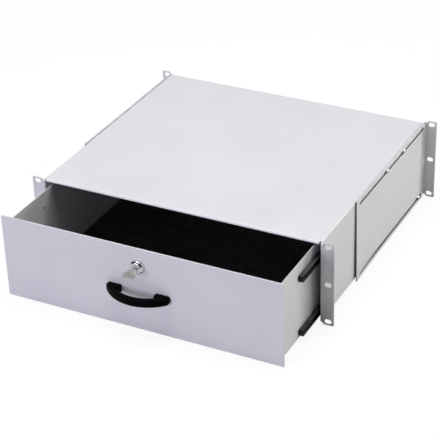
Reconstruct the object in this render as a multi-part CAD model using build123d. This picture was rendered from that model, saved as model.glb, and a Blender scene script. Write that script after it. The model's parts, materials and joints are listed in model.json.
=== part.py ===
from build123d import *
import os

# Sliding rack drawer for a 19-inch rack, three units high, drawn part open with its key in the lock.
# Millimetres. X runs to the right, Y to the rear and Z up. The origin is the middle of the front
# mounting slots, on the back of the front ears, where they bear on the rack.

# Rack interface
rack_width = 482.6
ear_height = 132.5
ear_reach = 19.55
ear_corner = 1.5
ear_chamfer = 3.5
slot_edge = 8.75
slot_end_inset = 5.925
slot_length = 10.3
slot_width = 6.8

# Casing, an open-bottomed cover of folded sheets
casing_sheet = 1.5
bend_inside = 1.0
top_drop = 0.75
side_lift = 3.5
cover_skirt = 0.6
lip_height = 3.5
lip_bend_inside = 1.8
lip_end_gap = 3.25
rear_flange = 12.0
rear_room = 21.5
back_inset = 0.8
back_screw_inset = 23.5

# Ball slides, two on each side
rail_thickness = 10.0
rail_height = 17.0
rail_web = 1.0
race_wall = 1.4
race_gap = 2.0
member_gap = 2.0
rail_corner = 1.2
rail_length = 300.0
rail_setback = 63.7
rail_end_round = 3.0
upper_rail_drop = 23.3
lower_rail_lift = 10.25
ball_radius = 1.25
ball_end_inset = 10.0
race_clearance = 0.06
cage_sheet = 0.6
cage_length = 68.0
cage_end_gap = 1.0
cage_web_gap = 0.3
cage_edge = 0.5
rail_rivet_inset = 25.8

# Drawer
panel_sheet = 2.0
panel_side_gap = 0.95
panel_edge_gap = 0.4
panel_corner = 1.2
panel_rest_gap = 0.5
drawer_open = 114.0
tray_sheet = 1.0
tray_bend_inside = 1.0
tray_lift = 2.0
tray_lip_gap = 5.2
tray_tail = 6.3
tray_flange = 14.0
mat_sheet = 2.0
mat_edge_gap = 2.5
stud_radius = 2.0
stud_length = 6.0
stud_inset = 16.8
nut_across = 7.0
nut_height = 3.2

# Handle
handle_chord = 106.5
handle_length = 99.0
handle_reach = 28.0
handle_height = 12.0
handle_drop = 70.35
bow_thickness = 7.5
finger_gap = 54.0
foot_depth = 8.5
foot_round = 2.5
handle_end_round = 4.5
handle_screw_grip = 9.0

# Lock and key
lock_drop = 29.6
lock_flange_radius = 11.0
lock_flange_sheet = 1.4
lock_shoulder_radius = 10.2
lock_shoulder_height = 2.4
lock_face_radius = 8.2
lock_dome = 3.8
lock_body_radius = 8.0
lock_body_flat = 7.0
lock_body_length = 10.0
lock_nut_across = 21.0
lock_nut_height = 3.0
plug_radius = 5.5
plug_clearance = 0.08
plug_face_recess = 0.3
plug_rear_gap = 0.3
drive_side = 6.0
cam_sheet = 2.0
cam_width = 12.0
cam_crank = 6.0
cam_tip_length = 8.0
cam_end_round = 4.0
cam_overlap = 1.3
cam_bend_inside = 1.0
cam_screw_radius = 1.5
cam_screw_length = 3.0
key_sheet = 2.0
key_blade_width = 6.4
key_tip_wall = 2.2
key_neck_width = 9.5
key_neck_length = 4.0
key_bow_width = 17.0
key_bow_length = 20.5
key_bow_straight = 6.8
key_bow_corner = 2.0
key_hole_radius = 1.8
key_hole_inset = 3.6
keyway_clearance = 0.35

# Rear brackets, set by three clamp screws on each side
bracket_sheet = 1.5
bracket_gap = 0.75
bracket_overhang = 5.4
bracket_length = 279.5
bracket_slot_play = 0.5
bracket_slot_end = 11.5
clamp_edge = 4.25
clamp_screw_rear = 17.0
clamp_step_near = 72.0
clamp_step_far = 139.0
clamp_play = 0.05
rivet_nut_radius = 3.2
rivet_nut_flange = 5.0
rivet_nut_length = 8.0

# Fasteners, drawn with flat sides
fastener_sides = 8
bead_sides = 6
bead_pole_cut = 0.15
bead_pole_radius = 0.7
screw_radius = 2.0
screw_head_radius = 3.9
screw_head_height = 2.4
screw_head_bevel = 0.6
screw_length = 9.0
rivet_radius = 1.6
rivet_head_radius = 3.1
rivet_head_height = 1.7
rivet_tail_height = 0.7
rivet_tail_gap = 0.6
hole_clearance = 0.06

# Places worked out from the sizes above
ear_edge = rack_width / 2
casing_outer = ear_edge - ear_reach
casing_inner = casing_outer - casing_sheet
casing_top = ear_height / 2 - top_drop
casing_bottom = side_lift - ear_height / 2
casing_fold = casing_sheet + bend_inside
side_top = casing_top - casing_fold
casing_seam = side_top - cover_skirt
ear_front = -casing_sheet
lip_bottom = casing_top - lip_height
lip_rear = ear_front + casing_sheet + lip_bend_inside
slot_x = ear_edge - slot_edge
slot_pitch = ear_height / 2 - slot_end_inset
back_screw_x = casing_inner - rear_flange / 2
back_screw_rise = casing_top - back_screw_inset

panel_half_width = casing_inner - panel_side_gap
panel_half_height = ear_height / 2 - panel_edge_gap
panel_closed_back = ear_front - panel_rest_gap
panel_back = panel_closed_back - drawer_open
panel_front = panel_back - panel_sheet

tray_outer = casing_inner - rail_thickness
tray_inner = tray_outer - tray_sheet
tray_bottom = tray_lift - ear_height / 2
tray_floor = tray_bottom + tray_sheet
tray_top = lip_bottom - tray_lip_gap
tray_depth = rail_setback + rail_length + tray_tail
tray_rear = panel_back + tray_depth
frame_rear = panel_back + tray_sheet
stud_x = tray_inner - (tray_flange - tray_sheet) / 2
stud_rise = tray_top - stud_inset

outer_rail_front = panel_closed_back + rail_setback
inner_rail_front = panel_back + rail_setback
rail_heights = {"upper": tray_top - upper_rail_drop, "lower": tray_bottom + lower_rail_lift}
member_depth = rail_thickness - rail_web - member_gap
inner_rail_height = rail_height - 2 * race_wall - 2 * race_gap
race_centre = (inner_rail_height + race_gap) / 2
ball_depth = rail_thickness / 2
cage_web_depth = rail_web + member_gap - cage_web_gap - cage_sheet
drawer_travel = rail_length - cage_length - 2 * cage_end_gap
cage_front = outer_rail_front + cage_end_gap + (drawer_travel - drawer_open) / 2
ball_rows = (cage_front + ball_end_inset, cage_front + cage_length - ball_end_inset)
rivet_rows = (inner_rail_front + rail_rivet_inset, inner_rail_front + rail_length - rail_rivet_inset)
rivet_tail_radius = inner_rail_height / 2 - race_wall - rivet_tail_gap

casing_rear = panel_closed_back + tray_depth + rear_room + casing_sheet
back_rear = casing_rear + casing_sheet

bracket_inner = casing_outer + bracket_gap
bracket_outer = bracket_inner + bracket_sheet
bracket_ear_front = back_rear + bracket_overhang
bracket_front = bracket_ear_front - bracket_length
bracket_slot_rise = -casing_bottom - clamp_edge
bracket_slot_width = 2 * (screw_radius + bracket_slot_play)
clamp_rear = casing_rear - clamp_screw_rear
clamp_points = [
    (clamp_rear, -bracket_slot_rise),
    (clamp_rear - clamp_step_near, bracket_slot_rise),
    (clamp_rear - clamp_step_far, bracket_slot_rise),
]

handle_z = panel_half_height - handle_drop
handle_half = handle_chord / 2
handle_screw_x = (handle_half + finger_gap / 2) / 2
lock_z = panel_half_height - lock_drop
lock_face = panel_front - lock_flange_sheet - lock_dome
plug_face = lock_face + plug_face_recess
lock_body_rear = panel_back + lock_body_length
plug_rear = lock_body_rear + plug_rear_gap
key_tip = plug_rear - key_tip_wall
cam_rear = plug_rear + cam_sheet
cam_length = lip_bottom + cam_overlap - lock_z


def front_view(y):
    """Drawing plane seen from the front: local x to the right, local y up."""
    return Plane(origin=(0, y, 0), x_dir=(1, 0, 0), z_dir=(0, -1, 0))


def side_view(x):
    """Drawing plane seen from the right: local x to the rear, local y up."""
    return Plane(origin=(x, 0, 0), x_dir=(0, 1, 0), z_dir=(1, 0, 0))


def top_view(z):
    """Drawing plane seen from above: local x to the right, local y to the rear."""
    return Plane(origin=(0, 0, z), x_dir=(1, 0, 0), z_dir=(0, 0, 1))


def rail_view(y, z):
    """Drawing plane across a right-hand slide: local x from the casing wall inwards, local y up."""
    return Plane(origin=(casing_inner, y, z), x_dir=(-1, 0, 0), z_dir=(0, 1, 0))


def folded(points, sheet, inside):
    """Cross-section of a folded sheet whose middle line runs through the points."""
    return trace(FilletPolyline(*points, radius=inside + sheet / 2), sheet)


def along(sketch, axis, length):
    """Extrudes a placed sketch along X, Y or Z."""
    directions = {"x": (1, 0, 0), "y": (0, 1, 0), "z": (0, 0, 1)}
    return extrude(sketch, amount=length, dir=directions[axis])


def pin(axis, centre, radius, length):
    """A fastener's shank or head, or the hole for one: it starts at centre and runs along X or Y."""
    plane = side_view(0) if axis == "x" else front_view(0)
    section = plane * RegularPolygon(radius, fastener_sides)
    return Pos(*centre) * along(section, axis, length)


def round_bar(y, z, radius, length):
    """A round bar along Y in the middle of the drawer."""
    return along(front_view(y) * (Pos(0, z) * Circle(radius)), "y", length)


def box_between(low, high):
    """A box given by its lowest and highest corners."""
    size = [b - a for a, b in zip(low, high)]
    middle = [(a + b) / 2 for a, b in zip(low, high)]
    return Pos(*middle) * Box(*size)


def left_of(right):
    """The left-hand twin of a right-hand shape."""
    return mirror(right, about=Plane.YZ)


def both_sides(right):
    """A right-hand shape together with its left-hand twin."""
    return right + left_of(right)


def rack_slots(y):
    """The three rack slots of one right-hand ear, as a cutter that passes through the sheet."""
    slot = SlotOverall(slot_length, slot_width)
    slots = Sketch(children=[Pos(slot_x, z) * slot for z in (-slot_pitch, 0, slot_pitch)])
    return along(front_view(y - casing_sheet) * slots, "y", 3 * casing_sheet)


def ear_plate(inner_edge, y, sheet):
    """Flat part of a right-hand ear, with chamfers where it meets the shorter fold."""
    half = ear_height / 2
    points = [
        (inner_edge, ear_chamfer - half),
        (inner_edge + ear_chamfer, -half),
        (ear_edge, -half),
        (ear_edge, half),
        (inner_edge + ear_chamfer, half),
        (inner_edge, half - ear_chamfer),
    ]
    outline = make_face(Polyline(*points, close=True))
    outline = fillet(outline.vertices().sort_by(Axis.X)[-2:], ear_corner)
    return along(front_view(y) * outline, "y", sheet) - rack_slots(y)


def clamp_hole(y, z):
    """Hole for one rivet nut in the right-hand casing wall."""
    start = casing_inner - bend_inside
    return pin("x", (start, y, z), rivet_nut_radius + hole_clearance, casing_sheet + 2 * bend_inside)


def back_hole(z):
    """Hole for one right-hand back screw through the rear flange and the back plate."""
    start = casing_rear - 2 * casing_sheet
    return pin("y", (back_screw_x, start, z), screw_radius + hole_clearance, 4 * casing_sheet)


def make_casing_top():
    """Top cover, folded down along both sides, with a rounded lip across the front."""
    wall = casing_outer - casing_sheet / 2
    roof = casing_top - casing_sheet / 2
    line = [(-wall, casing_seam), (-wall, roof), (wall, roof), (wall, casing_seam)]
    cover = front_view(lip_rear) * folded(line, casing_sheet, bend_inside)
    top = along(cover, "y", casing_rear - lip_rear)

    half = casing_outer - lip_end_gap
    line = [(lip_rear + casing_fold, roof), (ear_front / 2, roof), (ear_front / 2, lip_bottom)]
    lip = side_view(-half) * folded(line, casing_sheet, lip_bend_inside)
    return top + along(lip, "x", 2 * half)


def make_casing_side():
    """Right-hand side plate, folded out into the front ear and in at the back, welded to the top cover."""
    wall = casing_outer - casing_sheet / 2
    ear_middle = ear_front / 2
    flange = casing_rear - casing_sheet / 2
    ear_end = wall + 2 * casing_fold
    line = [(ear_end, ear_middle), (wall, ear_middle), (wall, flange), (casing_inner - rear_flange, flange)]
    plan = folded(line, casing_sheet, bend_inside)
    side = along(top_view(casing_bottom) * plan, "z", casing_seam - casing_bottom)
    corner = box_between((casing_inner, ear_front, casing_seam), (ear_end, lip_rear, side_top))
    side += corner & along(top_view(casing_seam) * plan, "z", cover_skirt)
    side += ear_plate(casing_outer + bend_inside, ear_front, casing_sheet)
    for y, z in clamp_points:
        side -= clamp_hole(y, z)
    for z in (-back_screw_rise, back_screw_rise):
        side -= back_hole(z)
    return side


def make_casing_back():
    half = casing_outer - back_inset
    back = box_between((-half, casing_rear, casing_bottom), (half, back_rear, casing_top - back_inset))
    for z in (-back_screw_rise, back_screw_rise):
        back -= both_sides(back_hole(z))
    return back


def make_back_screws():
    length = 3 * casing_sheet
    screws = []
    for z in (-back_screw_rise, back_screw_rise):
        shank = pin("y", (back_screw_x, back_rear - length, z), screw_radius, length)
        screw = shank + pin("y", (back_screw_x, back_rear, z), screw_head_radius, screw_head_height)
        screws += [screw, left_of(screw)]
    return screws


def make_rear_bracket():
    """Right-hand rear bracket: a slotted side plate folded out into a rack ear."""
    wall = bracket_outer - bracket_sheet / 2
    half = ear_height / 2
    fold_half = half - ear_chamfer
    ear_y = bracket_ear_front + bracket_sheet / 2
    line = [(wall, bracket_front), (wall, ear_y), (wall + 2 * casing_fold, ear_y)]
    fold = along(top_view(-fold_half) * folded(line, bracket_sheet, bend_inside), "z", 2 * fold_half)
    fold_start = bracket_ear_front - bend_inside
    plate = box_between((bracket_inner, bracket_front, -half), (bracket_outer, fold_start, half))
    plate = chamfer(plate.edges().filter_by(Axis.X).group_by(Axis.Y)[-1], ear_chamfer)
    bracket = fold + plate + ear_plate(bracket_outer + bend_inside, bracket_ear_front, bracket_sheet)
    slot_front = bracket_front + bracket_slot_end
    slot_rear = bracket_ear_front - bracket_slot_end
    for z in (-bracket_slot_rise, bracket_slot_rise):
        slot = Pos((slot_front + slot_rear) / 2, z) * SlotOverall(slot_rear - slot_front, bracket_slot_width)
        bracket -= along(side_view(bracket_inner - bracket_sheet) * slot, "x", 3 * bracket_sheet)
    return bracket


def make_rivet_nuts():
    """Flanged nuts set in the casing walls: their flanges hold the brackets off the paint."""
    flange = bracket_gap - clamp_play
    start = casing_inner - rivet_nut_length
    bore_length = rivet_nut_length + casing_sheet + 3 * flange
    nuts = []
    for y, z in clamp_points:
        nut = pin("x", (start, y, z), rivet_nut_radius, rivet_nut_length + casing_sheet)
        nut += pin("x", (casing_outer, y, z), rivet_nut_flange, flange)
        nut -= pin("x", (start - flange, y, z), screw_radius + hole_clearance, bore_length)
        nuts += [nut, left_of(nut)]
    return nuts


def make_clamp_screws():
    screws = []
    seat = bracket_outer + clamp_play
    for y, z in clamp_points:
        screw = pin("x", (seat - screw_length, y, z), screw_radius, screw_length)
        head = pin("x", (seat, y, z), screw_head_radius, screw_head_height)
        screw += chamfer(head.edges().group_by(Axis.X)[-1], screw_head_bevel)
        screws += [screw, left_of(screw)]
    return screws


def rivet_hole(y, z):
    """Clearance hole for a rivet through the web of an inner rail and the tray wall."""
    length = rail_thickness + 2 * tray_sheet
    return pin("x", (casing_inner - length, y, z), rivet_radius + hole_clearance, length - rail_web)


def ball_tracks():
    """The two round ball tracks of a slide, as seen across it."""
    track = Circle(ball_radius + race_clearance)
    return Pos(ball_depth, race_centre) * track + Pos(ball_depth, -race_centre) * track


def make_outer_rail(z):
    """Right-hand outer member: a channel welded to the casing wall, open towards the drawer."""
    low = Align.MIN, Align.CENTER
    channel = Rectangle(member_depth, rail_height, align=low)
    channel = fillet(channel.vertices().group_by(Axis.X)[0], rail_corner)
    channel -= Pos(rail_web, 0) * Rectangle(member_depth, rail_height - 2 * race_wall, align=low)
    channel -= ball_tracks()
    return along(rail_view(outer_rail_front, z) * channel, "y", rail_length)


def make_inner_rail(z):
    """Right-hand inner member: a channel with a rounded front end, riveted to the drawer wall."""
    high = Align.MAX, Align.CENTER
    channel = Pos(rail_thickness, 0) * Rectangle(member_depth, inner_rail_height, align=high)
    channel = fillet(channel.vertices().group_by(Axis.X)[-1], rail_corner)
    hollow = Rectangle(member_depth, inner_rail_height - 2 * race_wall, align=high)
    channel -= Pos(rail_thickness - rail_web, 0) * hollow
    channel -= ball_tracks()
    rail = along(rail_view(inner_rail_front, z) * channel, "y", rail_length)
    outline = Rectangle(rail_length, inner_rail_height, align=(Align.MIN, Align.CENTER))
    outline = fillet(outline.vertices().group_by(Axis.X)[0], rail_end_round)
    outline = side_view(tray_outer) * (Pos(inner_rail_front, z) * outline)
    rail &= along(outline, "x", rail_thickness)
    for y in rivet_rows:
        rail -= rivet_hole(y, z)
    return rail


def make_ball_cage(z):
    """Right-hand ball cage: a thin channel between the two members, with a window for each ball."""
    low = Align.MIN, Align.CENTER
    half = race_centre + cage_sheet / 2
    reach = ball_depth + ball_radius + cage_edge + hole_clearance - cage_web_depth
    channel = Rectangle(reach, 2 * half, align=low)
    channel -= Pos(cage_sheet, 0) * Rectangle(reach, 2 * (half - cage_sheet), align=low)
    cage = along(rail_view(cage_front, z) * (Pos(cage_web_depth, 0) * channel), "y", cage_length)
    window = ball_radius + hole_clearance
    x = casing_inner - ball_depth
    for y in ball_rows:
        low_corner = (x - window, y - window, z - rail_height)
        cage -= box_between(low_corner, (x + window, y + window, z + rail_height))
    return cage


def make_balls(z):
    """The balls of one right-hand slide, each drawn as a small bead that narrows towards its poles."""
    half = ball_radius - bead_pole_cut
    bead = extrude(RegularPolygon(ball_radius, bead_sides), amount=half, both=True)
    levels = bead.edges().group_by(Axis.Z)
    bead = chamfer(levels[0] + levels[-1], ball_radius - bead_pole_radius)
    x = casing_inner - ball_depth
    return [Pos(x, y, z + side * race_centre) * bead for y in ball_rows for side in (-1, 1)]


def make_rail_rivets():
    """Rivets of the inner rails: a low head inside the tray and a flat tail in the rail's channel."""
    rivets = []
    web = tray_outer + rail_web
    for z in rail_heights.values():
        for y in rivet_rows:
            rivet = pin("x", (tray_inner, y, z), rivet_radius, web - tray_inner)
            rivet += pin("x", (tray_inner - rivet_head_height, y, z), rivet_head_radius, rivet_head_height)
            rivet += pin("x", (web, y, z), rivet_tail_radius, rivet_tail_height)
            rivets += [rivet, left_of(rivet)]
    return rivets


def stud_points():
    """Where the front panel's studs pass through the tray's front frame."""
    return [(x, z) for x in (-stud_x, stud_x) for z in (-stud_rise, stud_rise)]


def make_drawer_tray():
    """Folded tray: a floor with a wall at each side."""
    wall = tray_outer - tray_sheet / 2
    floor = tray_bottom + tray_sheet / 2
    line = [(-wall, tray_top), (-wall, floor), (wall, floor), (wall, tray_top)]
    tray = along(front_view(frame_rear) * folded(line, tray_sheet, tray_bend_inside), "y", tray_rear - frame_rear)
    for z in rail_heights.values():
        for y in rivet_rows:
            tray -= both_sides(rivet_hole(y, z))
    return tray


def make_drawer_back():
    """Back plate, welded in between the tray's walls."""
    back = box_between((-tray_inner, tray_rear - tray_sheet, tray_floor), (tray_inner, tray_rear, tray_top))
    return chamfer(back.edges().filter_by(Axis.Y).group_by(Axis.Z)[0], tray_bend_inside)


def make_drawer_frame():
    """Flat frame, welded to the tray's front edges, that the front panel is bolted to."""
    half = tray_outer - tray_flange
    frame = box_between((-tray_outer, panel_back, tray_bottom), (tray_outer, frame_rear, tray_top))
    frame -= box_between(
        (-half, panel_back - tray_sheet, tray_bottom + tray_flange),
        (half, frame_rear + tray_sheet, tray_top + tray_flange),
    )
    for x, z in stud_points():
        frame -= pin("y", (x, panel_back - tray_sheet, z), stud_radius + hole_clearance, 3 * tray_sheet)
    return frame


def make_drawer_mat():
    half = tray_inner - mat_edge_gap
    front = frame_rear + mat_edge_gap
    rear = tray_rear - tray_sheet - mat_edge_gap
    return box_between((-half, front, tray_floor), (half, rear, tray_floor + mat_sheet))


def make_front_panel():
    """Flat front with welded studs behind it for the tray."""
    outline = RectangleRounded(2 * panel_half_width, 2 * panel_half_height, panel_corner)
    panel = along(front_view(panel_front) * outline, "y", panel_sheet)
    start = panel_front - panel_sheet
    panel -= lock_body(start, 3 * panel_sheet, hole_clearance)
    for x in (-handle_screw_x, handle_screw_x):
        panel -= pin("y", (x, start, handle_z), screw_radius + hole_clearance, 3 * panel_sheet)
    for x, z in stud_points():
        panel += pin("y", (x, panel_back, z), stud_radius, stud_length)
    return panel


def make_panel_nuts():
    hexagon = RegularPolygon(nut_across / 2, 6, major_radius=False)
    bore = RegularPolygon(stud_radius + hole_clearance, fastener_sides)
    nut = along(front_view(frame_rear) * (hexagon - bore), "y", nut_height)
    return [Pos(x, 0, z) * nut for x, z in stud_points()]


def make_handle():
    """Bow handle: an arched bar on two broad feet with rounded ends, screwed on from behind the panel."""
    bow = ThreePointArc((-handle_half, 0), (0, -handle_reach), (handle_half, 0))
    block = make_face(bow + Line((handle_half, 0), (-handle_half, 0)))
    radius = (handle_half ** 2 + handle_reach ** 2) / (2 * handle_reach)
    inside = Pos(0, radius - handle_reach) * Circle(radius - bow_thickness)
    foot_length = handle_half - finger_gap / 2
    foot = RectangleRounded(2 * foot_length, 2 * foot_depth, foot_round)
    feet = Pos(handle_half, 0) * foot + Pos(-handle_half, 0) * foot
    outline = block - (inside - feet)
    low = top_view(handle_z - handle_height / 2)
    handle = along(low * (Pos(0, panel_front) * outline), "z", handle_height)
    ends = RectangleRounded(handle_length, handle_height, handle_end_round)
    handle &= along(front_view(panel_front - handle_reach) * (Pos(0, handle_z) * ends), "y", handle_reach)
    start = panel_front - handle_screw_grip - hole_clearance
    for x in (-handle_screw_x, handle_screw_x):
        bore_length = handle_screw_grip + screw_radius
        handle -= pin("y", (x, start, handle_z), screw_radius + hole_clearance, bore_length)
    return handle


def make_handle_screws():
    screws = []
    start = panel_front - handle_screw_grip
    for x in (-handle_screw_x, handle_screw_x):
        shank = pin("y", (x, start, handle_z), screw_radius, handle_screw_grip + panel_sheet)
        screws.append(shank + pin("y", (x, panel_back, handle_z), screw_head_radius, screw_head_height))
    return screws


def lock_body(y, length, growth):
    """Round lock body with two flats, grown on all sides for its hole."""
    flats = Rectangle(2 * (lock_body_flat + growth), 4 * lock_body_radius)
    section = Circle(lock_body_radius + growth) & flats
    return along(front_view(y) * (Pos(0, lock_z) * section), "y", length)


def make_lock_barrel():
    """Domed lock head on a flatted body, bored for the plug."""
    rim_front = panel_front - lock_flange_sheet
    outline = [
        (0, panel_front),
        (lock_flange_radius, panel_front),
        (lock_flange_radius, rim_front),
        (lock_shoulder_radius, rim_front - lock_shoulder_height),
        (lock_face_radius, lock_face),
        (0, lock_face),
    ]
    head = revolve(make_face(Polyline(*outline, close=True)), axis=Axis.Y, revolution_arc=360)
    barrel = Pos(0, 0, lock_z) * head + lock_body(panel_front, panel_sheet + lock_body_length, 0)
    bore_length = lock_body_rear - lock_face + 2 * lock_dome
    return barrel - round_bar(lock_face - lock_dome, lock_z, plug_radius + plug_clearance, bore_length)


def make_lock_nut():
    hexagon = RegularPolygon(lock_nut_across / 2, 6, major_radius=False)
    nut = along(front_view(panel_back) * (Pos(0, lock_z) * hexagon), "y", lock_nut_height)
    return nut - lock_body(panel_back - panel_sheet, 3 * lock_nut_height, hole_clearance)


def make_lock_plug():
    """Turning plug with a flat keyway in front and a square drive for the cam behind."""
    plug = round_bar(plug_face, lock_z, plug_radius, plug_rear - plug_face)
    drive = front_view(plug_rear) * (Pos(0, lock_z) * Rectangle(drive_side, drive_side))
    plug += along(drive, "y", cam_sheet)
    keyway = Rectangle(key_blade_width + 2 * keyway_clearance, key_sheet + 2 * keyway_clearance)
    depth = key_tip - plug_face + keyway_clearance
    plug -= along(front_view(plug_face - key_sheet) * (Pos(0, lock_z) * keyway), "y", depth + key_sheet)
    start = cam_rear - cam_screw_length - hole_clearance
    bore_length = cam_screw_length + cam_sheet
    return plug - pin("y", (0, start, lock_z), cam_screw_radius + hole_clearance, bore_length)


def make_lock_cam():
    """Cranked cam, drawn unlocked, to the left; a quarter turn brings its tip up behind the casing's lip."""
    middle = plug_rear + cam_sheet / 2
    crank_end = cam_length - cam_tip_length
    line = [
        (cam_width / 2, middle),
        (cam_crank - crank_end, middle),
        (-crank_end, middle - cam_crank),
        (-cam_length, middle - cam_crank),
    ]
    cam = along(top_view(lock_z - cam_width / 2) * folded(line, cam_sheet, cam_bend_inside), "z", cam_width)
    ends = cam.edges().filter_by(Axis.Y).group_by(Axis.X)
    cam = fillet(ends[0] + ends[-1], cam_end_round)
    drive = Rectangle(drive_side + 2 * hole_clearance, drive_side + 2 * hole_clearance)
    return cam - along(front_view(plug_rear - cam_sheet) * (Pos(0, lock_z) * drive), "y", 3 * cam_sheet)


def make_cam_screw():
    start = cam_rear - cam_screw_length
    screw = pin("y", (0, start, lock_z), cam_screw_radius, cam_screw_length)
    return screw + pin("y", (0, cam_rear, lock_z), screw_head_radius, screw_head_height)


def make_key():
    """Flat key lying level in the plug, with a fan-shaped bow."""
    neck_front = plug_face - key_neck_length
    bow_front = neck_front - key_bow_length
    blade = key_blade_width / 2
    neck = key_neck_width / 2
    bow = key_bow_width / 2
    points = [
        (0, bow_front),
        (bow, bow_front),
        (bow, bow_front + key_bow_straight),
        (neck, neck_front),
        (blade, neck_front),
        (blade, key_tip),
        (0, key_tip),
    ]
    half = make_face(Polyline(*points, close=True))
    outline = half + left_of(half)
    outline = fillet(outline.vertices().group_by(Axis.Y)[0], key_bow_corner)
    outline -= Pos(0, bow_front + key_hole_inset) * Circle(key_hole_radius)
    return along(top_view(lock_z - key_sheet / 2) * outline, "z", key_sheet)


def save(name, shape):
    """Writes one piece, or one group of like pieces, to its own file."""
    group = shape if isinstance(shape, list) else [shape]
    solids = [one.solid() for one in group]
    whole = solids[0] if len(solids) == 1 else Compound(children=solids)
    export_step(whole, f"parts/{name}.step")


os.makedirs("parts", exist_ok=True)

save("casing_top", make_casing_top())
right_side = make_casing_side()
save("casing_side_right", right_side)
save("casing_side_left", left_of(right_side))
save("casing_back", make_casing_back())
save("back_screws", make_back_screws())
save("rivet_nuts", make_rivet_nuts())
save("clamp_screws", make_clamp_screws())

right_bracket = make_rear_bracket()
save("rear_bracket_right", right_bracket)
save("rear_bracket_left", left_of(right_bracket))

for level, height in rail_heights.items():
    pieces = {
        "outer_rail": [make_outer_rail(height)],
        "inner_rail": [make_inner_rail(height)],
        "ball_cage": [make_ball_cage(height)],
        "balls": make_balls(height),
    }
    for piece, right in pieces.items():
        save(f"{piece}_{level}_right", right)
        save(f"{piece}_{level}_left", [left_of(one) for one in right])

save("rail_rivets", make_rail_rivets())
save("drawer_tray", make_drawer_tray())
save("drawer_back", make_drawer_back())
save("drawer_frame", make_drawer_frame())
save("drawer_mat", make_drawer_mat())
save("front_panel", make_front_panel())
save("panel_nuts", make_panel_nuts())
save("handle", make_handle())
save("handle_screws", make_handle_screws())
save("lock_barrel", make_lock_barrel())
save("lock_nut", make_lock_nut())
save("lock_plug", make_lock_plug())
save("lock_cam", make_lock_cam())
save("cam_screw", make_cam_screw())
save("key", make_key())
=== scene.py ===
# %% [markdown]
# A lockable drawer for a 19-inch equipment rack. A folded steel casing bolts into the rack, and the drawer
# runs inside it on four ball slides. The CAD model already holds every piece in its place, so this lesson
# adds what CAD leaves out: finishes, softened edges, round balls, screw heads, light and a camera. Lengths
# are metres, +Z is up and +Y runs into the rack.

# %% Load the CAD frame
import json
import math

import bmesh
import bpy
from mathutils import Matrix, Quaternion, Vector
from mathutils.bvhtree import BVHTree

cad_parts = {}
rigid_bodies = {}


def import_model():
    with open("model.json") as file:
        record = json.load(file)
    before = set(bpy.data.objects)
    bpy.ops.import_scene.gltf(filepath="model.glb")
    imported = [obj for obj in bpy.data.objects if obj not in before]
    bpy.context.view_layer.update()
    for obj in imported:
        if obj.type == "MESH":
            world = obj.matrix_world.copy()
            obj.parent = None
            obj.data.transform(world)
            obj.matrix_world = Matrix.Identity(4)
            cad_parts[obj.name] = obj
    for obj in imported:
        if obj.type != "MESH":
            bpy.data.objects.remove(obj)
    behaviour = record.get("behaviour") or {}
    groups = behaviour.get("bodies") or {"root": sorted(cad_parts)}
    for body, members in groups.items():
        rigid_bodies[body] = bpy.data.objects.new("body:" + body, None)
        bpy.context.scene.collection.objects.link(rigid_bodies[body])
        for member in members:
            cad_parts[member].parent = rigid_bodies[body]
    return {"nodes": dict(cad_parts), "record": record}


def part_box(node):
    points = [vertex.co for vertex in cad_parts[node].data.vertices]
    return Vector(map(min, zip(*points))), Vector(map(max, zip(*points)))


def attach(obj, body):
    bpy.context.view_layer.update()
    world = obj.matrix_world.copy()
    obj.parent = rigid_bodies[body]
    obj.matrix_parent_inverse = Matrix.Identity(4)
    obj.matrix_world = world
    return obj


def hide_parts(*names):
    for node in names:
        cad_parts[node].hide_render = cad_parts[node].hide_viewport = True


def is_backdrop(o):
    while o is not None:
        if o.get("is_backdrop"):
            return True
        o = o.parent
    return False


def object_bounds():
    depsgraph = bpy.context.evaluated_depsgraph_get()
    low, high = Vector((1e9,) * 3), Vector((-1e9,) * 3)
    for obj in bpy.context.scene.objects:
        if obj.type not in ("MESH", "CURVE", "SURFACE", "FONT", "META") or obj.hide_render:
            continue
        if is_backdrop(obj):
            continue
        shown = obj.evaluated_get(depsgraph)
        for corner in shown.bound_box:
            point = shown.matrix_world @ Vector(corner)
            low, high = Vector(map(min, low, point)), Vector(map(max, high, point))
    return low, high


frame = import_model()
cad_low, cad_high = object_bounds()
record = frame["record"]
scene = bpy.context.scene
scene.view_settings.view_transform = "Standard"
mm = 0.001
body_of_node = {node: body for body, members in record["behaviour"]["bodies"].items() for node in members}
slot_of_node = {part["node"]: part["material_slot"] for part in record["subparts"]}
print("CAD nodes:", len(body_of_node), "box in mm:", [round(side / mm, 1) for side in cad_high - cad_low])

# %% [markdown]
# The camera looks down on the front right corner from about two metres with a long lens, so the far edges
# of the casing hardly shrink. A camera can be aimed with a constraint or with angles; angles are used here
# because the view was fitted to the rack's known width, and the small roll of the picture is then one more
# angle.

# %% Camera
camera_place = Vector((0.9450, -1.6619, 1.1605))
camera_azimuth = math.radians(27.834)
camera_elevation = math.radians(30.273)
camera_roll = math.radians(-1.919)
lens_mm = 127.745
sensor_mm = 36.0

level_reach = math.cos(camera_elevation)
line_of_sight = Vector((
    -math.sin(camera_azimuth) * level_reach,
    math.cos(camera_azimuth) * level_reach,
    -math.sin(camera_elevation),
))
camera_data = bpy.data.cameras.new("studio_camera")
camera_data.lens = lens_mm
camera_data.sensor_width = sensor_mm
camera = bpy.data.objects.new("studio_camera", camera_data)
camera_turn = line_of_sight.to_track_quat("-Z", "Y") @ Quaternion((0, 0, 1), camera_roll)
camera.matrix_world = Matrix.Translation(camera_place) @ camera_turn.to_matrix().to_4x4()
scene.collection.objects.link(camera)
scene.camera = camera
print("Camera looks along", [round(part, 3) for part in line_of_sight])

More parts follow.
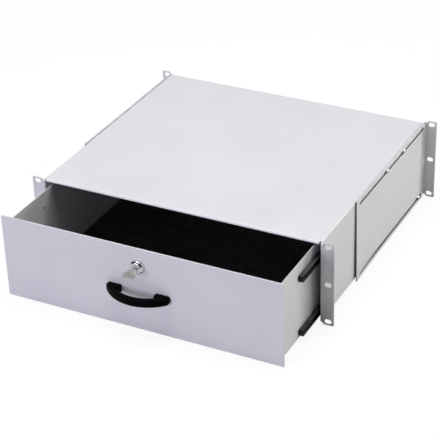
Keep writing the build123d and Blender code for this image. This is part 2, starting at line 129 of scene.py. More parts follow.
# %% [markdown]
# Catalogue pictures of painted steel are taken in a tent of soft boxes. A broad light overhead makes the
# top the brightest face, and a cool one from the front left lights the drawer front. Two neutral ones stand
# at the right: a low one behind the corner lights the side and throws the shadows of the ears and screw
# heads forward, and a higher one looks over the drawer's wall and lights the opposite wall from inside. One
# strong bare lamp would give hard black shadows, so every lamp here is a large square of light.

# %% Soft boxes
object_middle = (cad_low + cad_high) / 2
neutral_light = (1.0, 0.995, 0.935)
cool_light = (0.975, 0.972, 1.0)
lavender_light = (0.86, 0.84, 1.0)


def soft_box(name, place, size, power, colour):
    """A square area light that faces the object and isn't seen itself."""
    lamp = bpy.data.lights.new(name, "AREA")
    lamp.shape = "SQUARE"
    lamp.size = size
    lamp.energy = power
    lamp.color = colour
    box = bpy.data.objects.new(name, lamp)
    aim = object_middle - Vector(place)
    box.matrix_world = Matrix.Translation(place) @ aim.to_track_quat("-Z", "Y").to_matrix().to_4x4()
    box.visible_camera = False
    scene.collection.objects.link(box)


soft_box("light_overhead", place=(-0.22, 0.03, 2.4), size=1.7, power=66.0, colour=cool_light)
soft_box("light_right_low", place=(1.9, 1.9, 0.25), size=1.0, power=38.0, colour=neutral_light)
soft_box("light_right_high", place=(2.1, 0.6, 1.3), size=0.8, power=14.0, colour=neutral_light)
soft_box("light_front_left", place=(-0.95, -2.7, 0.45), size=1.3, power=50.0, colour=lavender_light)

# %% [markdown]
# The picture stands on pure white. The floor is matt and pale so that it throws light up at the front, but
# a camera ray meets mostly plain white there, with just enough of the real floor left to carry a faint
# shadow. The world answers each kind of ray in its own way: white for the eye, black for mirrors, so that
# the chrome of the lock gets its dark arcs, and a dim grey for the light that fills shadows.

# %% Helpers for nodes
pure_white = (1, 1, 1, 1)
pure_black = (0, 0, 0, 1)


def add(tree, kind, inputs, **properties):
    """Adds a node, links or sets its inputs by name or number, and returns its first output."""
    node = tree.nodes.new(kind)
    for name, value in properties.items():
        setattr(node, name, value)
    for key, value in inputs.items():
        sources = value if isinstance(value, list) else [value]
        for source in sources:
            if isinstance(source, bpy.types.NodeSocket):
                tree.links.new(source, node.inputs[key])
            else:
                node.inputs[key].default_value = source
    return node.outputs[0]


def ray_kind(tree, question):
    """One where the answer to the question about a ray is yes, nought where it is no."""
    return tree.nodes.new("ShaderNodeLightPath").outputs[question]


# %% Surroundings
ambient_colour = (0.95, 0.95, 1.0, 1.0)
ambient_strength = 0.015
world = bpy.data.worlds.new("white_studio")
world.use_nodes = True
world_tree = world.node_tree
world_tree.nodes.clear()
dim = add(world_tree, "ShaderNodeBackground", {"Color": ambient_colour, "Strength": ambient_strength})
white = add(world_tree, "ShaderNodeBackground", {"Color": pure_white, "Strength": 1.0})
dark = add(world_tree, "ShaderNodeBackground", {"Color": pure_black, "Strength": 0.0})
mirrored = ray_kind(world_tree, "Is Glossy Ray")
unseen = add(world_tree, "ShaderNodeMixShader", {0: mirrored, 1: dim, 2: dark})
looked_at = ray_kind(world_tree, "Is Camera Ray")
both = add(world_tree, "ShaderNodeMixShader", {0: looked_at, 1: unseen, 2: white})
world_end = world_tree.nodes.new("ShaderNodeOutputWorld")
world_tree.links.new(both, world_end.inputs["Surface"])
scene.world = world
print("World has", len(world_tree.nodes), "nodes")

# %% Floor
floor_reach = 12.0
shadow_share = 0.12
floor_white = (0.97, 0.97, 0.97, 1.0)
floor_bounce = (0.52, 0.52, 0.52, 1.0)
floor_mesh = bpy.data.meshes.new("studio_floor")
square = ((-1, -1), (1, -1), (1, 1), (-1, 1))
corners = [(x * floor_reach, y * floor_reach, cad_low.z) for x, y in square]
floor_mesh.from_pydata(corners, [], [(0, 1, 2, 3)])
floor = bpy.data.objects.new("studio_floor", floor_mesh)
scene.collection.objects.link(floor)
floor_paint = bpy.data.materials.new("studio_floor")
floor_paint.use_nodes = True
floor_tree = floor_paint.node_tree
floor_tree.nodes.clear()
bounce = add(floor_tree, "ShaderNodeBsdfDiffuse", {"Color": floor_bounce})
matt = add(floor_tree, "ShaderNodeBsdfDiffuse", {"Color": floor_white})
glow = add(floor_tree, "ShaderNodeEmission", {"Color": pure_white, "Strength": 1.0})
seen = add(floor_tree, "ShaderNodeMixShader", {0: shadow_share, 1: glow, 2: matt})
looked_at = ray_kind(floor_tree, "Is Camera Ray")
mixed = add(floor_tree, "ShaderNodeMixShader", {0: looked_at, 1: bounce, 2: seen})
floor_end = floor_tree.nodes.new("ShaderNodeOutputMaterial")
floor_tree.links.new(mixed, floor_end.inputs["Surface"])
floor_mesh.materials.append(floor_paint)
floor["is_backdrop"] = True
print("Floor at", round(cad_low.z / mm, 2), "mm")

# %% [markdown]
# Every finish starts from the same few moves. Noise on the piece's own coordinates stands for the small
# unevenness that all real surfaces have; it tints the colour a little, varies the gloss, and lifts the
# surface by a few hundredths of a millimetre at most. Image textures would do too, but a pattern made of
# nodes needs no file and never shows a seam.

# %% Helpers for finishes
finishes = {}
noise_low = 0.3
noise_high = 0.7
bump_strength = 0.6


def new_finish(slot, metallic, reflection=0.5):
    """An empty finish for one of the record's material slots."""
    finish = bpy.data.materials.new(slot)
    finish.use_nodes = True
    shader = finish.node_tree.nodes["Principled BSDF"]
    shader.inputs["Metallic"].default_value = metallic
    shader.inputs["Specular IOR Level"].default_value = reflection
    finishes[slot] = finish
    return finish.node_tree, shader


def unevenness(tree, grain, detail=2.0, stretch=(1, 1, 1)):
    """Noise with grains of about this size in metres, drawn out along an axis where stretch is small."""
    place = tree.nodes.new("ShaderNodeTexCoord").outputs["Object"]
    stretched = add(tree, "ShaderNodeMapping", {"Vector": place, "Scale": stretch})
    return add(tree, "ShaderNodeTexNoise", {"Vector": stretched, "Scale": 1 / grain, "Detail": detail})


def spread(tree, pattern, low, high):
    """Maps the middle of a noise pattern to a range of values."""
    limits = {"From Min": noise_low, "From Max": noise_high, "To Min": low, "To Max": high}
    return add(tree, "ShaderNodeMapRange", {"Value": pattern, **limits})


# %% Tint, gloss and relief
def tint(tree, shader, dark, light, **noise):
    """Lets the colour wander between two near tones."""
    ramp = tree.nodes.new("ShaderNodeValToRGB")
    for stop, place, colour in zip(ramp.color_ramp.elements, (noise_low, noise_high), (dark, light)):
        stop.position = place
        stop.color = (*colour, 1.0)
    tree.links.new(unevenness(tree, **noise), ramp.inputs["Fac"])
    tree.links.new(ramp.outputs["Color"], shader.inputs["Base Color"])


def overlay(tree, shader, share, colour):
    """Lays a second colour over the first one where share is high."""
    under = shader.inputs["Base Color"].links[0].from_socket
    mixed = add(tree, "ShaderNodeMixRGB", {"Fac": share, "Color1": under, "Color2": (*colour, 1.0)})
    tree.links.new(mixed, shader.inputs["Base Color"])


def gloss(tree, shader, low, high, **noise):
    """Lets the roughness wander between two values."""
    tree.links.new(spread(tree, unevenness(tree, **noise), low, high), shader.inputs["Roughness"])


def relief(tree, shader, height, **noise):
    """Raises the surface by noise, with height in metres."""
    bumps = {"Height": unevenness(tree, **noise), "Distance": height, "Strength": bump_strength}
    tree.links.new(add(tree, "ShaderNodeBump", bumps), shader.inputs["Normal"])


# %% [markdown]
# Powder coat is baked on, so it is even in colour and satin, with an orange-peel skin whose grains are
# about a millimetre wide. The light grey leans very slightly to blue. Faces that carry a mark are painted
# near black: painted shade for the shadow inside the rear brackets' slots and along the gap at their front
# edge. A piece without the mark is coated all over.

# %% Grey powder coat
# Near black for the painted shade in the brackets' slots and front gap.
painted_shade_black = (0.012, 0.012, 0.013)
coat_tree, coat = new_finish("grey_paint", metallic=0.0)
tint(coat_tree, coat, dark=(0.655, 0.655, 0.68), light=(0.69, 0.69, 0.71), grain=90 * mm)
gloss(coat_tree, coat, low=0.34, high=0.42, grain=35 * mm, detail=4.0)
relief(coat_tree, coat, height=0.02 * mm, grain=1.2 * mm)
# Painted shade: marked faces turn near black, standing for shadow rather than a colour of the sheet.
bare_edge = add(coat_tree, "ShaderNodeAttribute", {}, attribute_name="bare_edge")
overlay(coat_tree, coat, bare_edge, painted_shade_black)
print("Grey coat has", len(coat_tree.nodes), "nodes")

# %% [markdown]
# The slides are black-coated steel with faint drawing lines along the rail; stretching the noise along Y
# makes such lines. Faces that look upward are painted paler grey in patches: a painted highlight for the
# light from above, so the coat asks which way a face looks.

# %% Black slide coat
along_rail = (1.0, 0.04, 1.0)
rail_black = (0.006, 0.006, 0.0065)
rail_worn = (0.011, 0.011, 0.012)
painted_top_grey = (0.11, 0.11, 0.113)
top_paint_start = 0.6
least_top_paint = 0.35
rail_tree, rail_coat = new_finish("black_rail", metallic=0.0, reflection=0.08)
tint(rail_tree, rail_coat, rail_black, rail_worn, grain=2 * mm, detail=3.0, stretch=along_rail)
facing = rail_tree.nodes.new("ShaderNodeSeparateXYZ")
rail_tree.links.new(rail_tree.nodes.new("ShaderNodeTexCoord").outputs["Normal"], facing.inputs["Vector"])
# Painted highlight: upward faces are painted paler grey, in patches.
facing_up = add(rail_tree, "ShaderNodeMapRange", {"Value": facing.outputs["Z"], "From Min": top_paint_start})
patchy = spread(rail_tree, unevenness(rail_tree, grain=14 * mm, detail=3.0), least_top_paint, 1.0)
painted_top_share = add(rail_tree, "ShaderNodeMath", {0: facing_up, 1: patchy}, operation="MULTIPLY")
overlay(rail_tree, rail_coat, painted_top_share, painted_top_grey)
gloss(rail_tree, rail_coat, low=0.3, high=0.42, grain=6 * mm, detail=3.0, stretch=along_rail)
relief(rail_tree, rail_coat, height=0.01 * mm, grain=0.8 * mm, stretch=along_rail)
print("Slide coat has", len(rail_tree.nodes), "nodes")

# %% [markdown]
# Zinc plate on screws, cages and nuts is a bright metal with a soft, cloudy gloss. Balls are ground and
# polished, the lock is chromed, and the key is nickel over brass with a satin, faintly brushed face.

# %% Metals
along_key = (0.1, 1.0, 1.0)
zinc_tree, zinc = new_finish("zinc", metallic=1.0)
tint(zinc_tree, zinc, dark=(0.60, 0.61, 0.62), light=(0.74, 0.75, 0.76), grain=3 * mm, detail=4.0)
gloss(zinc_tree, zinc, low=0.24, high=0.4, grain=2 * mm, detail=4.0)
relief(zinc_tree, zinc, height=0.006 * mm, grain=0.4 * mm)

ball_tree, ball_steel = new_finish("ball_steel", metallic=1.0)
tint(ball_tree, ball_steel, dark=(0.74, 0.74, 0.76), light=(0.80, 0.80, 0.82), grain=1 * mm)
gloss(ball_tree, ball_steel, low=0.06, high=0.14, grain=0.5 * mm)
relief(ball_tree, ball_steel, height=0.001 * mm, grain=0.2 * mm)

chrome_tree, chrome = new_finish("chrome", metallic=1.0)
tint(chrome_tree, chrome, dark=(0.79, 0.79, 0.80), light=(0.84, 0.84, 0.86), grain=4 * mm)
gloss(chrome_tree, chrome, low=0.04, high=0.1, grain=2 * mm, detail=3.0)
relief(chrome_tree, chrome, height=0.002 * mm, grain=1.5 * mm)

key_tree, key_nickel = new_finish("key_nickel", metallic=1.0)
tint(key_tree, key_nickel, dark=(0.36, 0.35, 0.315), light=(0.47, 0.46, 0.415), grain=2 * mm, detail=4.0)
gloss(key_tree, key_nickel, low=0.34, high=0.5, grain=1 * mm, detail=3.0, stretch=along_key)
relief(key_tree, key_nickel, height=0.006 * mm, grain=0.3 * mm, stretch=along_key)
print("Metals:", [slot for slot in finishes if slot not in ("grey_paint", "black_rail")])

# %% [markdown]
# The handle is moulded plastic with a fine spark-eroded grain, and the mat is matt rubber. Every CAD piece
# then gets the finish that the record names for it.

# %% Plastic and rubber
plastic_black = (0.0015, 0.0015, 0.0018)
plastic_sheen = (0.003, 0.003, 0.0034)
plastic_tree, plastic = new_finish("black_plastic", metallic=0.0, reflection=0.02)
tint(plastic_tree, plastic, plastic_black, plastic_sheen, grain=5 * mm)
gloss(plastic_tree, plastic, low=0.36, high=0.48, grain=3 * mm, detail=3.0)
relief(plastic_tree, plastic, height=0.015 * mm, grain=0.5 * mm)

# The mat's dark rubber is partly painted shade for the shadowed inside of the drawer.
rubber_tree, rubber = new_finish("mat_rubber", metallic=0.0, reflection=0.15)
tint(rubber_tree, rubber, dark=(0.08, 0.075, 0.077), light=(0.106, 0.1, 0.102), grain=12 * mm, detail=4.0)
gloss(rubber_tree, rubber, low=0.7, high=0.85, grain=4 * mm, detail=3.0)
relief(rubber_tree, rubber, height=0.03 * mm, grain=0.7 * mm)
for node_name, cad_object in frame["nodes"].items():
    cad_object.material_slots[0].material = finishes[slot_of_node[node_name]]
print("Finishes:", sorted(finishes))

# %% [markdown]
# No real edge is perfectly sharp: folded sheet is deburred, and powder builds a small radius on it. A copy
# of each CAD mesh is merged, and a Bevel modifier rounds every edge that turns sharply. Where narrow faces
# meet, a bevel can throw a corner far off, so a corner that left the CAD surface is laid back on it. Smooth
# shading alone would bend the light across the flat sheet beside a bevel, so each corner's normal is
# averaged only over the faces round it that lie nearly level with its own. The copy then stands for the CAD
# piece.

# %% Helpers for plain meshes
merge_distance = 0.001 * mm
sharp_angle = math.radians(25)


def as_plain_mesh(piece):
    """Turns a piece with modifiers into plain faces."""
    graph = bpy.context.evaluated_depsgraph_get()
    plain = bpy.data.meshes.new_from_object(piece.evaluated_get(graph), depsgraph=graph)
    piece.modifiers.clear()
    piece.data = plain


def settle(piece, *nodes):
    """The piece stands for these CAD nodes and moves with their body."""
    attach(piece, body_of_node[nodes[0]])
    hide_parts(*nodes)


def merged_shape(node):
    """The CAD node's faces as one joined-up shape."""
    shape = bmesh.new()
    shape.from_mesh(frame["nodes"][node].data)
    bmesh.ops.remove_doubles(shape, verts=shape.verts, dist=merge_distance)
    return shape


def true_normals(mesh):
    """Shades flat faces flat and gentle curves smooth, whatever the triangles in them."""
    nearly_level = math.cos(sharp_angle)
    around = [[] for _ in mesh.vertices]
    for face in mesh.polygons:
        for corner in face.vertices:
            around[corner].append((face.normal.copy(), face.area))
    normals = []
    for face in mesh.polygons:
        for corner in face.vertices:
            near = [pair for pair in around[corner] if pair[0].dot(face.normal) > nearly_level]
            normals.append(sum((normal * area for normal, area in near), Vector()).normalized())
    mesh.normals_split_custom_set(normals)


# %% Softened copies
stray_share = 0.6


def pull_back(mesh, skin, reach, low, high):
    """Lays corners that a bevel threw off the CAD piece back on its surface, and counts them."""
    strays = 0
    for vertex in mesh.vertices:
        place, _, _, distance = skin.find_nearest(vertex.co)
        if distance > reach:
            vertex.co = place
            strays += 1
        vertex.co = [min(max(part, least), most) for part, least, most in zip(vertex.co, low, high)]
    return strays


def softened(node, edge_radius, segments=2):
    """A copy of a CAD node with rounded edges."""
    shape = merged_shape(node)
    skin = BVHTree.FromBMesh(shape)
    mesh = bpy.data.meshes.new(f"finished_{node}")
    shape.to_mesh(mesh)
    shape.free()
    mesh.shade_smooth()
    mesh.materials.append(finishes[slot_of_node[node]])
    piece = bpy.data.objects.new(f"finished_{node}", mesh)
    scene.collection.objects.link(piece)
    bevel = piece.modifiers.new("Soft edges", "BEVEL")
    bevel.width = edge_radius
    bevel.segments = segments
    bevel.limit_method = "ANGLE"
    bevel.angle_limit = sharp_angle
    bevel.use_clamp_overlap = False
    as_plain_mesh(piece)
    strays = pull_back(piece.data, skin, stray_share * edge_radius, *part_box(node))
    if strays:
        print(node, "had", strays, "stray corners")
    true_normals(piece.data)
    settle(piece, node)
    return piece


# %% [markdown]
# The casing is a top cover welded to two side plates that fold out into the rack ears, with a screwed-on
# back. The drawer's flat front, its folded tray and the plates that are welded into the tray have the same
# coat. The tray's sheet is thinner, so its edges are softened less.

# %% Painted sheet metal
sheet_edge = 0.3 * mm
thin_sheet_edge = 0.2 * mm
for node_name in ("casing_top", "casing_side_right", "casing_side_left", "casing_back"):
    softened(node_name, sheet_edge)
softened("front_panel", sheet_edge)
for node_name in ("drawer_tray", "drawer_back", "drawer_frame"):
    softened(node_name, thin_sheet_edge)
painted = [piece.name for piece in scene.objects if piece.name.startswith("finished_")]
print("Painted pieces:", painted)

# %% [markdown]
# Each slide is an outer channel on the casing, an inner channel on the drawer, and a thin cage between
# them. They are rolled from strip, so their edges are softened a little more gently than the casing's.

# %% Slides
rail_edge = 0.25 * mm
cage_edge = 0.1 * mm
sides = [f"{level}_{side}" for level in ("upper", "lower") for side in ("right", "left")]
for side in sides:
    softened(f"outer_rail_{side}", rail_edge)
    softened(f"inner_rail_{side}", rail_edge)
    softened(f"ball_cage_{side}", cage_edge)
print("Slides:", sides)

# %% [markdown]
# The balls roll in the two grooves of each slide. In CAD they are faceted beads; here a small Geometry
# Nodes tree puts a smooth sphere on each bead's centre. The centres come from the CAD mesh, taken apart
# into its islands.

# %% Helpers for repeated pieces
place_digits = 5


def islands(node):
    """Lowest and highest corners of each separate solid of a CAD node, in a fixed order."""
    shape = merged_shape(node)
    waiting = set(shape.verts)
    boxes = []
    while waiting:
        group = [waiting.pop()]
        for vertex in group:
            near = {edge.other_vert(vertex) for edge in vertex.link_edges} & waiting
            waiting -= near
            group += near
        places = [vertex.co for vertex in group]
        low = Vector([min(place[axis] for place in places) for axis in range(3)])
        high = Vector([max(place[axis] for place in places) for axis in range(3)])
        boxes.append((low, high))
    shape.free()
    return sorted(boxes, key=lambda box: [round(part, place_digits) for part in box[0]])


def new_tree(name, inputs):
    """An empty Geometry Nodes tree with named inputs."""
    tree = bpy.data.node_groups.new(name, "GeometryNodeTree")
    tree.interface.new_socket("Geometry", in_out="INPUT", socket_type="NodeSocketGeometry")
    for label, kind in inputs.items():
        tree.interface.new_socket(label, in_out="INPUT", socket_type=f"NodeSocket{kind}")
    tree.interface.new_socket("Geometry", in_out="OUTPUT", socket_type="NodeSocketGeometry")
    return tree, tree.nodes.new("NodeGroupInput").outputs


def end_tree(tree, instances, finish):
    """Makes instances real, gives them their finish and ends the tree."""
    real = add(tree, "GeometryNodeRealizeInstances", {"Geometry": instances})
    painted = add(tree, "GeometryNodeSetMaterial", {"Geometry": real, "Material": finish})
    end = tree.nodes.new("NodeGroupOutput")
    tree.links.new(painted, end.inputs["Geometry"])


def grown(name, tree, places, facings, values, *nodes):
    """Runs a tree on points that each have a facing, and lets the plain result stand for CAD nodes."""
    mesh = bpy.data.meshes.new(name)
    mesh.from_pydata(places, [], [])
    facing = mesh.attributes.new("facing", "FLOAT_VECTOR", "POINT")
    facing.data.foreach_set("vector", [part for direction in facings for part in direction])
    piece = bpy.data.objects.new(name, mesh)
    scene.collection.objects.link(piece)
    modifier = piece.modifiers.new("Grow", "NODES")
    modifier.node_group = tree
    for socket in tree.interface.items_tree:
        if socket.in_out == "INPUT" and socket.name in values:
            modifier[socket.identifier] = values[socket.name]
    as_plain_mesh(piece)
    piece.data.shade_smooth()
    piece.data.set_sharp_from_angle(angle=sharp_angle)
    settle(piece, *nodes)
    print(name, "has", len(places), "places and", len(piece.data.polygons), "faces")


# %% Balls
ball_radius = 1.25 * mm
ball_facets = {"Segments": 24, "Rings": 12}
straight_up = (0, 0, 1)
ball_nodes, ball_given = new_tree("slide_balls", {"Ball Radius": "Float", "Finish": "Material"})
sphere_size = {**ball_facets, "Radius": ball_given["Ball Radius"]}
sphere = add(ball_nodes, "GeometryNodeMeshUVSphere", sphere_size)
ball_points = {"Points": ball_given["Geometry"], "Instance": sphere}
ball_row = add(ball_nodes, "GeometryNodeInstanceOnPoints", ball_points)
end_tree(ball_nodes, ball_row, ball_given["Finish"])
ball_values = {"Ball Radius": ball_radius, "Finish": finishes["ball_steel"]}
for side in sides:
    centres = [(low + high) / 2 for low, high in islands(f"balls_{side}")]
    facings = [straight_up] * len(centres)
    grown(f"round_balls_{side}", ball_nodes, centres, facings, ball_values, f"balls_{side}")

# %% [markdown]
# The brackets, the back and the handle are held by pan-head screws with a cross recess. The head is a short
# cylinder trimmed by a large sphere, which domes it, and two crossing bars cut the recess. One tree makes
# them all: it reads each point's facing, turns the screw to it and gives it a spin of its own, because no
# fitter lines up the slots.

# %% Screw head
screw_inputs = dict.fromkeys(("Head Radius", "Head Height", "Shank Radius", "Shank Length"), "Float")
screw_nodes, screw_given = new_tree("pan_head_screws", {**screw_inputs, "Finish": "Material"})
head_facets = 40
dome_facets = {"Segments": 48, "Rings": 48}
dome_ratio = 1.35
recess_length = 1.05
recess_width = 0.3
recess_depth = 0.55


def times(tree, value, factor):
    """A value times a factor."""
    return add(tree, "ShaderNodeMath", {0: value, 1: factor}, operation="MULTIPLY")


def upright(tree, height):
    """A step along Z."""
    return add(tree, "ShaderNodeCombineXYZ", {"Z": height})


def moved(tree, geometry, height):
    """A shape lifted along Z."""
    return add(tree, "GeometryNodeTransform", {"Geometry": geometry, "Translation": upright(tree, height)})


head_radius = screw_given["Head Radius"]
head_height = screw_given["Head Height"]
drum_size = {"Vertices": head_facets, "Radius": head_radius, "Depth": head_height}
drum = add(screw_nodes, "GeometryNodeMeshCylinder", drum_size)
drum = moved(screw_nodes, drum, times(screw_nodes, head_height, 0.5))
dome_radius = times(screw_nodes, head_radius, dome_ratio)
dome = add(screw_nodes, "GeometryNodeMeshUVSphere", {**dome_facets, "Radius": dome_radius})
dome_rise = add(screw_nodes, "ShaderNodeMath", {0: head_height, 1: dome_radius}, operation="SUBTRACT")
dome = moved(screw_nodes, dome, dome_rise)
head = add(screw_nodes, "GeometryNodeMeshBoolean", {"Mesh 2": [drum, dome]}, operation="INTERSECT")
long_side = times(screw_nodes, head_radius, recess_length)
short_side = times(screw_nodes, head_radius, recess_width)
tall_side = times(screw_nodes, head_height, 2 * recess_depth)
bars = []
for width, depth in ((long_side, short_side), (short_side, long_side)):
    size = add(screw_nodes, "ShaderNodeCombineXYZ", {"X": width, "Y": depth, "Z": tall_side})
    bar = add(screw_nodes, "GeometryNodeMeshCube", {"Size": size})
    bars.append(moved(screw_nodes, bar, head_height))
head = add(screw_nodes, "GeometryNodeMeshBoolean", {"Mesh 1": head, "Mesh 2": bars}, operation="DIFFERENCE")
print("Recess across the head:", recess_length, "head radii long and", recess_width, "wide")

# %% Screw shank and turn
shank_facets = 24
spin_step = 2.4
shank_length = screw_given["Shank Length"]
shank_size = {"Vertices": shank_facets, "Radius": screw_given["Shank Radius"], "Depth": shank_length}
shank = add(screw_nodes, "GeometryNodeMeshCylinder", shank_size)
shank = moved(screw_nodes, shank, times(screw_nodes, shank_length, -0.5))
screw = add(screw_nodes, "GeometryNodeJoinGeometry", {"Geometry": [head, shank]})


def turned_to_facing(tree, spin):
    """Stands an instance's Z along its point's facing, with a spin that grows from point to point."""
    facing = add(tree, "GeometryNodeInputNamedAttribute", {"Name": "facing"}, data_type="FLOAT_VECTOR")
    stand = add(tree, "FunctionNodeAlignRotationToVector", {"Vector": facing}, axis="Z")
    number = add(tree, "GeometryNodeInputIndex", {})
    angle = times(tree, number, spin)
    own_turn = add(tree, "FunctionNodeAxisAngleToRotation", {"Axis": (0, 0, 1), "Angle": angle})
    turn = {"Rotation": stand, "Rotate By": own_turn}
    return add(tree, "FunctionNodeRotateRotation", turn, rotation_space="LOCAL")


screw_turn = turned_to_facing(screw_nodes, spin_step)
screw_points = {"Points": screw_given["Geometry"], "Instance": screw, "Rotation": screw_turn}
screw_row = add(screw_nodes, "GeometryNodeInstanceOnPoints", screw_points)
end_tree(screw_nodes, screw_row, screw_given["Finish"])
print("Screw tree has", len(screw_nodes.nodes), "nodes")

# %% Screws in their places
pan_head_height = 2.4 * mm
thread_radius = 2.0 * mm
x_axis = 0
y_axis = 1


def screws_along(node, axis, outward):
    """Screws on the solids of a CAD node, whose heads lie at the outward end of an axis."""
    places = []
    facings = []
    boxes = islands(node)
    for low, high in boxes:
        way = outward(low)
        place = (low + high) / 2
        place[axis] = (high[axis] if way > 0 else low[axis]) - way * pan_head_height
        facing = Vector((0, 0, 0))
        facing[axis] = way
        places.append(place)
        facings.append(facing)
    low, high = boxes[0]
    values = {
        "Head Radius": (high.z - low.z) / 2,
        "Head Height": pan_head_height,
        "Shank Radius": thread_radius,
        "Shank Length": high[axis] - low[axis] - pan_head_height,
        "Finish": finishes[slot_of_node[node]],
    }
    grown(f"pan_head_{node}", screw_nodes, places, facings, values, node)


screws_along("clamp_screws", x_axis, lambda low: 1 if low.x > 0 else -1)
screws_along("back_screws", y_axis, lambda low: 1)
screws_along("handle_screws", y_axis, lambda low: 1)

# %% [markdown]
# A rear bracket is a long sheet held by two screws along its top and only one, far back, along its bottom,
# so the free lower corner at the front springs a little away from the casing. It could be bent with a
# lattice; here the flat copy is sliced into narrow strips and each corner moves out by the square of its
# distance from the hold, as a held strip bends. The faces inside its slots and its front edge are then
# marked for painted shade, which stands for the shadow in the slots and in the gap behind the front edge.

# %% Sprung rear brackets
strip_width = 8 * mm
spring_start = 235 * mm
spring_height = 1.9 * mm
slot_half_width = 2.6 * mm
end_margin = 8 * mm
hold_reach = 5 * mm
flat_limit = 0.8
slot_heights = {round((low.z + high.z) / 2, place_digits) for low, high in islands("clamp_screws")}
held_height = max(slot_heights) - hold_reach


def mark_painted_shade(mesh, front, rear):
    """Marks the faces inside the two slots and on the front edge that get painted shade."""
    shade_mark = mesh.attributes.new("bare_edge", "FLOAT", "FACE")
    for face in mesh.polygons:
        in_height = min(abs(face.center.z - height) for height in slot_heights) < slot_half_width
        in_length = front + end_margin < face.center.y < rear - end_margin
        slot_face = in_height and in_length and abs(face.normal.x) < flat_limit
        front_face = face.center.y < front + sheet_edge and face.normal.y < -flat_limit
        shade_mark.data[face.index].value = float(slot_face or front_face)


def sprung(node):
    """A softened bracket whose free lower front corner stands off the casing."""
    piece = softened(node, sheet_edge)
    low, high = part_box(node)
    outward = 1 if low.x > 0 else -1
    shape = bmesh.new()
    shape.from_mesh(piece.data)
    for number in range(1, int((spring_start - low.y) / strip_width) + 1):
        everything = shape.verts[:] + shape.edges[:] + shape.faces[:]
        cut = Vector((0, spring_start - number * strip_width, 0))
        bmesh.ops.bisect_plane(shape, geom=everything, plane_co=cut, plane_no=(0, 1, 0))
    for vertex in shape.verts:
        along = max(0.0, (spring_start - vertex.co.y) / (spring_start - low.y))
        down = max(0.0, (held_height - vertex.co.z) / (held_height - low.z))
        vertex.co.x += outward * along**2 * down * spring_height
    shape.to_mesh(piece.data)
    shape.free()
    true_normals(piece.data)
    mark_painted_shade(piece.data, low.y, high.y)
    return piece


for node_name in ("rear_bracket_right", "rear_bracket_left"):
    bracket = sprung(node_name)
    print(bracket.name, "has", len(bracket.data.polygons), "faces")

# %% [markdown]
# Each inner rail is held by two rivets: a low dome inside the tray and a flat tail in the rail's channel. A
# squashed sphere makes the dome; its hidden half lies in the sheet. The screws' facing turns the rivets
# too.

# %% Rivet shape
rivet_facets = 32
rivet_inputs = dict.fromkeys(("Head Radius", "Head Height", "Tail Radius", "Tail Height", "Grip"), "Float")
rivet_nodes, rivet_given = new_tree("rail_rivets", {**rivet_inputs, "Finish": "Material"})
dome_wide = rivet_given["Head Radius"]
dome_size = {"X": dome_wide, "Y": dome_wide, "Z": rivet_given["Head Height"]}
dome_scale = add(rivet_nodes, "ShaderNodeCombineXYZ", dome_size)
unit_size = {"Segments": rivet_facets, "Rings": rivet_facets // 2, "Radius": 1.0}
unit_ball = add(rivet_nodes, "GeometryNodeMeshUVSphere", unit_size)
rivet_dome = add(rivet_nodes, "GeometryNodeTransform", {"Geometry": unit_ball, "Scale": dome_scale})
tail_high = rivet_given["Tail Height"]
tail_size = {"Vertices": rivet_facets, "Radius": rivet_given["Tail Radius"], "Depth": tail_high}
tail = add(rivet_nodes, "GeometryNodeMeshCylinder", tail_size)
half_tail = times(rivet_nodes, tail_high, 0.5)
tail_depth = add(rivet_nodes, "ShaderNodeMath", {0: rivet_given["Grip"], 1: half_tail}, operation="ADD")
tail = moved(rivet_nodes, tail, times(rivet_nodes, tail_depth, -1.0))
rivet = add(rivet_nodes, "GeometryNodeJoinGeometry", {"Geometry": [rivet_dome, tail]})
rivet_turn = turned_to_facing(rivet_nodes, spin=0.0)
rivet_points = {"Points": rivet_given["Geometry"], "Instance": rivet, "Rotation": rivet_turn}
rivet_row = add(rivet_nodes, "GeometryNodeInstanceOnPoints", rivet_points)
end_tree(rivet_nodes, rivet_row, rivet_given["Finish"])
print("Rivet tree has", len(rivet_nodes.nodes), "nodes")

# %% Rivets in their places
rivet_head_height = 1.7 * mm
rivet_tail_radius = 2.5 * mm
rivet_tail_height = 0.7 * mm
rivet_places = []
rivet_facings = []
rivet_boxes = islands("rail_rivets")
for low, high in rivet_boxes:
    way = -1 if low.x > 0 else 1
    place = (low + high) / 2
    place.x = (low.x if way < 0 else high.x) - way * rivet_head_height
    rivet_places.append(place)
    rivet_facings.append((way, 0, 0))
low, high = rivet_boxes[0]
rivet_values = {
    "Head Radius": (high.z - low.z) / 2,
    "Head Height": rivet_head_height,
    "Tail Radius": rivet_tail_radius,
    "Tail Height": rivet_tail_height,
    "Grip": high.x - low.x - rivet_head_height - rivet_tail_height,
    "Finish": finishes["zinc"],
}
grown("domed_rail_rivets", rivet_nodes, rivet_places, rivet_facings, rivet_values, "rail_rivets")

# %% [markdown]
# A ribbed rubber mat lies on the drawer floor so that tools don't slide; its dark rubber is partly painted
# shade for the deep shadow inside the drawer. The tree lays a bar across the drawer at every few
# millimetres, on a thinner sheet.

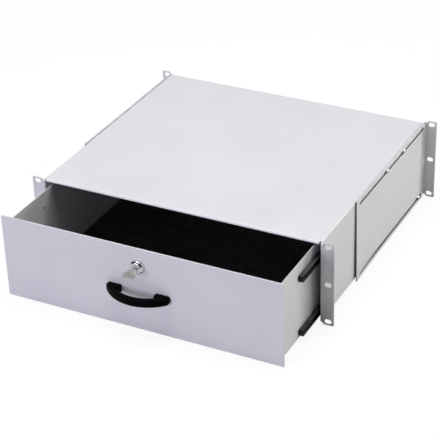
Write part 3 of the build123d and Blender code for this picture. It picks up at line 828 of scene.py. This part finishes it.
# %% Ribbed mat
rib_inputs = dict.fromkeys(("Rib Pitch", "Rib Width", "Rib Height"), "Float")
mat_inputs = {"Size": "Vector", "Centre": "Vector", **rib_inputs, "Finish": "Material"}
mat_nodes, mat_given = new_tree("ribbed_mat", mat_inputs)
mat_size = mat_nodes.nodes.new("ShaderNodeSeparateXYZ")
mat_nodes.links.new(mat_given["Size"], mat_size.inputs["Vector"])
mat_wide, mat_deep, mat_thick = mat_size.outputs
rib_high = mat_given["Rib Height"]
rib_wide = mat_given["Rib Width"]
sheet_thick = add(mat_nodes, "ShaderNodeMath", {0: mat_thick, 1: rib_high}, operation="SUBTRACT")
sheet_size = add(mat_nodes, "ShaderNodeCombineXYZ", {"X": mat_wide, "Y": mat_deep, "Z": sheet_thick})
sheet = add(mat_nodes, "GeometryNodeMeshCube", {"Size": sheet_size})
sheet = moved(mat_nodes, sheet, times(mat_nodes, rib_high, -0.5))
rib_size = {"X": mat_wide, "Y": rib_wide, "Z": rib_high}
rib = add(mat_nodes, "GeometryNodeMeshCube", {"Size": add(mat_nodes, "ShaderNodeCombineXYZ", rib_size)})
rib = moved(mat_nodes, rib, times(mat_nodes, sheet_thick, 0.5))
free_depth = add(mat_nodes, "ShaderNodeMath", {0: mat_deep, 1: rib_wide}, operation="SUBTRACT")
rib_steps = add(mat_nodes, "ShaderNodeMath", {0: free_depth, 1: mat_given["Rib Pitch"]}, operation="DIVIDE")
first_rib = add(mat_nodes, "ShaderNodeCombineXYZ", {"Y": times(mat_nodes, free_depth, -0.5)})
last_rib = add(mat_nodes, "ShaderNodeCombineXYZ", {"Y": times(mat_nodes, free_depth, 0.5)})
rib_line = {"Count": rib_steps, "Start Location": first_rib, "Offset": last_rib}
rib_points = add(mat_nodes, "GeometryNodeMeshLine", rib_line, mode="END_POINTS")
ribs = add(mat_nodes, "GeometryNodeInstanceOnPoints", {"Points": rib_points, "Instance": rib})
whole_mat = add(mat_nodes, "GeometryNodeJoinGeometry", {"Geometry": [sheet, ribs]})
placed_mat = {"Geometry": whole_mat, "Translation": mat_given["Centre"]}
end_tree(mat_nodes, add(mat_nodes, "GeometryNodeTransform", placed_mat), mat_given["Finish"])

mat_low, mat_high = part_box("drawer_mat")
mat_values = {
    "Size": tuple(mat_high - mat_low),
    "Centre": tuple((mat_low + mat_high) / 2),
    "Rib Pitch": 6 * mm,
    "Rib Width": 3 * mm,
    "Rib Height": 0.35 * mm,
    "Finish": finishes["mat_rubber"],
}
grown("ribbed_drawer_mat", mat_nodes, [(0, 0, 0)], [straight_up], mat_values, "drawer_mat")

# %% [markdown]
# The bow handle is a plastic moulding with generous radii, so its copy gets a wider bevel with more steps.

# %% Handle
handle_edge = 1.6 * mm
bow = softened("handle", handle_edge, segments=4)
print(bow.name, "has", len(bow.data.polygons), "faces")

# %% [markdown]
# The lock is a chromed head that turns the light sharply, with the plug and its key inside it. Polished
# pieces need crisp but rounded edges, or their highlights vanish. The small nuts are softened along with
# them.

# %% Lock and key
lock_edge = 0.35 * mm
small_edge = 0.2 * mm
small_pieces = ("lock_plug", "key", "lock_cam", "cam_screw", "lock_nut", "panel_nuts", "rivet_nuts")
softened("lock_barrel", lock_edge, segments=3)
for node_name in small_pieces:
    softened(node_name, small_edge)
print("Small pieces:", small_pieces)

# %% [markdown]
# Last, the finished model is compared with the CAD model's box, because finishes must not change its size.

# %% Sizes and finish
visual_low, visual_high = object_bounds()
growth = (*(cad_low - visual_low), *(visual_high - cad_high))
print("Grows by, in mm:", [round(gap / mm, 3) for gap in growth])
